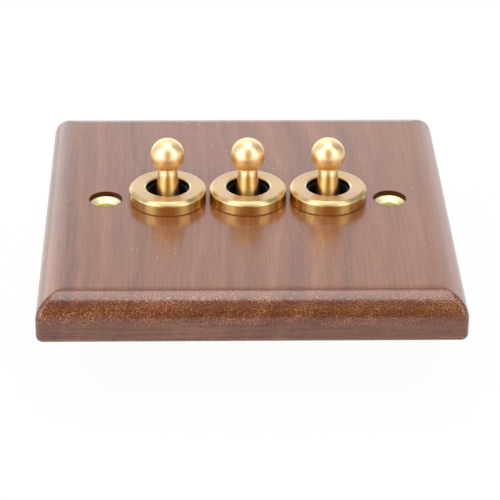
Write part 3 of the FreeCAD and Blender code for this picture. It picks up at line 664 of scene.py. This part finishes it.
def make_spring(side, material):
    """The coil spring in one lever's tail, built at its rest length; the real one shortens as its plunger is
    pushed in, this mesh does not.
    """
    pivot = Vector((middle_of(f"{side}_dress_ring").x, 0, LEVER_PIVOT_HEIGHT))
    bottom = pivot - LEVER_AXIS * (SPRING_TOP + SPRING_LENGTH) * MM
    right = Vector((1, 0, 0))
    back = LEVER_AXIS.cross(right)
    steps = STEPS_PER_TURN * (SPRING_ACTIVE_TURNS + 2)
    points = []
    for step in range(steps + 1):
        angle = math.tau * step / STEPS_PER_TURN
        outward = right * math.cos(angle) + back * math.sin(angle)
        centre = bottom + LEVER_AXIS * coil_height(step / STEPS_PER_TURN) * MM + outward * SPRING_RADIUS * MM
        for corner in range(STEPS_ROUND_WIRE):
            turn = math.tau * corner / STEPS_ROUND_WIRE
            reach = outward * math.cos(turn) + LEVER_AXIS * math.sin(turn)
            points.append(centre + reach * SPRING_WIRE / 2 * MM)
    faces = []
    for step in range(steps):
        here = step * STEPS_ROUND_WIRE
        there = (step + 1) * STEPS_ROUND_WIRE
        for corner in range(STEPS_ROUND_WIRE):
            following = (corner + 1) % STEPS_ROUND_WIRE
            faces.append((here + corner, there + corner, there + following, here + following))
    faces.append(tuple(range(STEPS_ROUND_WIRE)))
    faces.append(tuple(reversed(range(steps * STEPS_ROUND_WIRE, (steps + 1) * STEPS_ROUND_WIRE))))
    spring = add_piece(f"{side}_coil_spring", points, faces, material, f"{side}_lever")
    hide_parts(f"{side}_plunger_spring")
    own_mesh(spring)


def dress_all():
    """Give every solid its material, and make the rings and springs that stand for plain solids."""
    contacts = stamped_metal("contact_brass", shade(0.62, 0.45, 0.20), shade(0.74, 0.56, 0.28), (0.28, 0.42))
    steel = stamped_metal("steel", shade(0.48, 0.48, 0.48), shade(0.60, 0.60, 0.60), (0.22, 0.34))
    spring_steel = stamped_metal("spring_steel", shade(0.38, 0.38, 0.39), shade(0.50, 0.50, 0.51), (0.2, 0.3))
    cups = cup_brass()
    zinc = zinc_steel()
    black = black_moulding()
    milk = nylon()
    dress("walnut_plate", walnut())
    for cup in ("left_screw_cup", "right_screw_cup"):
        dress(cup, cups)
    for piece in ("back_plate", "plate_screws", "earth_screw"):
        dress(piece, zinc)
    dress("earth_terminal", contacts)
    for side in SIDES:
        polished = ring_brass(side)
        dress(f"{side}_dress_ring", polished)
        make_ring(side, polished)
        dress(f"{side}_dolly", dolly_brass(side))
        dress(f"{side}_pivot_pin", steel)
        dress(f"{side}_plunger", milk)
        make_spring(side, spring_steel)
        dress(f"{side}_switch_cover", black)
        dress(f"{side}_switch_base", black)
        dress(f"{side}_terminal_screws", zinc)
        for piece in ("rocker_contact", "common_terminal", "front_terminal", "rear_terminal"):
            dress(f"{side}_{piece}", contacts)


def ease_all():
    """Break the sharp edges of every solid that isn't replaced."""
    for node, width in PLATE_EDGES.items():
        ease_edges(node, width)
    for side in SIDES:
        for piece, width in GANG_EDGES.items():
            ease_edges(f"{side}_{piece}", width)


def table_white():
    """White that keeps a faint shadow, and looks the same to the eye and in the brass."""
    made = Recipe("white_table", roughness=0.9, base_color=shade(0.8, 0.8, 0.8), specular_ior_level=0.0)
    paths = made.add("ShaderNodeLightPath").outputs
    seen = made.math("MAXIMUM", paths["Is Camera Ray"], paths["Is Glossy Ray"])
    seen = made.math("MAXIMUM", seen, paths["Is Transmission Ray"])
    white = made.add("ShaderNodeEmission", {"Color": shade(1.0, 1.0, 1.0), "Strength": 1.0})
    blend = made.add("ShaderNodeMixShader", {"Fac": made.math("MULTIPLY", seen, TABLE_WHITE)})
    made.put(blend.inputs[1], made.shader.outputs[0])
    made.put(blend.inputs[2], white.outputs[0])
    made.put(made.tree.nodes["Material Output"].inputs["Surface"], blend.outputs[0])
    return made.material


def make_floor():
    """A plain white table under the object."""
    lowest = CAD_BOX[0].z
    corners = [(x * TABLE_HALF, y * TABLE_HALF, lowest) for x, y in ((-1, -1), (1, -1), (1, 1), (-1, 1))]
    mesh = bpy.data.meshes.new("table")
    mesh.from_pydata(corners, [], [(0, 1, 2, 3)])
    mesh.materials.append(table_white())
    floor = bpy.data.objects.new("table", mesh)
    bpy.context.scene.collection.objects.link(floor)


def wall_light(made, sideways, facing, height):
    """The strength of the white walls under a weaker ceiling."""
    rise = made.span(facing, *BACK_WALL_FACINGS, 0.0, BACK_WALL_RISE, smooth=True)
    above = made.math("SUBTRACT", height, rise)
    wall = made.span(above, *WALL_TOP_HEIGHTS, WALL_STRENGTH, CEILING_STRENGTH, smooth=True)
    wall = made.math("MULTIPLY", wall, made.span(height, *WALL_FALL_HEIGHTS, 1.0, WALL_FALL, smooth=True))
    past_front = made.span(facing, *SIDE_FRONT_FACINGS, smooth=True)
    before_back = made.span(facing, *SIDE_BACK_FACINGS, 1.0, 0.0, smooth=True)
    beside = made.math("MULTIPLY", past_front, before_back)
    loss = made.span(height, *SIDE_TOP_HEIGHTS, 1.0 - SIDE_SHARE, 0.0, smooth=True)
    wall = made.math("MULTIPLY", wall, made.math("SUBTRACT", 1.0, made.math("MULTIPLY", beside, loss)))
    slant = made.math("MULTIPLY", sideways, WALL_SLANT)
    return made.math("MULTIPLY", wall, made.math("SUBTRACT", 1.0, slant))


def dim_share(made, sideways, facing, height):
    """Where the dim part of the studio lies."""
    spread = made.math("MULTIPLY", made.math("MINIMUM", height, DIM_SPREAD_TOP), DIM_SPREAD)
    aside = made.math("SUBTRACT", made.math("ABSOLUTE", sideways), spread)
    narrow = made.span(aside, DIM_WIDTH - DIM_BLUR, DIM_WIDTH + DIM_BLUR, 1.0, 0.0, smooth=True)
    ahead = made.span(facing, *DIM_FACINGS, 1.0, 0.0, smooth=True)
    under_top = made.span(height, *DIM_TOP_HEIGHTS, 1.0, 0.0, smooth=True)
    return made.math("MULTIPLY", made.math("MULTIPLY", narrow, ahead), under_top)


def make_world():
    """A white studio: bright behind, above and to the sides, dim straight ahead of the object."""
    world = bpy.data.worlds.new("studio")
    bpy.context.scene.world = world
    world.use_nodes = True
    made = Nodes(world.node_tree)
    x, y, height = made.parts(made.add("ShaderNodeTexCoord").outputs["Generated"])
    squares = made.math("ADD", made.math("MULTIPLY", x, x), made.math("MULTIPLY", y, y))
    level_reach = made.math("MAXIMUM", made.math("SQRT", squares), LEAST_REACH)
    sideways = made.math("DIVIDE", x, level_reach)
    facing = made.math("DIVIDE", y, level_reach)
    wall = wall_light(made, sideways, facing, height)
    dim = dim_share(made, sideways, facing, height)
    dim_level = made.span(height, *DIM_LEVEL_HEIGHTS, DIM_LOW, DIM_HIGH, smooth=True)
    strength = made.math("ADD", wall, made.math("MULTIPLY", dim, made.math("SUBTRACT", dim_level, wall)))
    camera_ray = made.add("ShaderNodeLightPath").outputs["Is Camera Ray"]
    tinted = made.math("MULTIPLY", dim, made.math("SUBTRACT", 1.0, camera_ray))
    background = made.tree.nodes["Background"]
    made.put(background.inputs["Strength"], made.math("MAXIMUM", camera_ray, strength))
    made.put(background.inputs["Color"], made.mix(tinted, shade(1.0, 1.0, 1.0), DIM_COLOUR))


def make_lamp(name, place, size, power):
    """A soft box that looks at the rings."""
    light = bpy.data.lights.new(name, "AREA")
    light.shape = "RECTANGLE"
    light.size, light.size_y = size
    light.energy = power
    lamp = bpy.data.objects.new(name, light)
    lamp.location = place
    target = Vector((0, 0, CAD_BOX[1].z))
    lamp.rotation_euler = (target - Vector(place)).to_track_quat("-Z", "Y").to_euler()
    lamp.visible_camera = False
    bpy.context.scene.collection.objects.link(lamp)


def make_camera():
    """The picture's own view, with no shift."""
    level_ahead = Vector((math.sin(CAMERA_YAW), math.cos(CAMERA_YAW), 0))
    level_right = Vector((math.cos(CAMERA_YAW), -math.sin(CAMERA_YAW), 0))
    up = Vector((0, 0, 1))
    ahead = level_ahead * math.cos(CAMERA_PITCH) - up * math.sin(CAMERA_PITCH)
    steep = level_ahead * math.sin(CAMERA_PITCH) + up * math.cos(CAMERA_PITCH)
    right = level_right * math.cos(CAMERA_ROLL) + steep * math.sin(CAMERA_ROLL)
    top = steep * math.cos(CAMERA_ROLL) - level_right * math.sin(CAMERA_ROLL)
    data = bpy.data.cameras.new("camera")
    data.sensor_width = SENSOR
    data.lens = FOCAL_PIXELS / FRAME_PIXELS * SENSOR
    data.clip_start = CAMERA_NEAR
    camera = bpy.data.objects.new("camera", data)
    turn = Matrix((right, top, -ahead)).transposed().to_4x4()
    camera.matrix_world = Matrix.Translation(CAMERA_PLACE) @ turn
    bpy.context.scene.collection.objects.link(camera)
    bpy.context.scene.camera = camera


dress_all()
ease_all()
make_floor()
make_world()
for lamp_name, lamp_settings in LAMPS.items():
    make_lamp(lamp_name, *lamp_settings)
make_camera()
bpy.context.scene.view_settings.view_transform = "Standard"
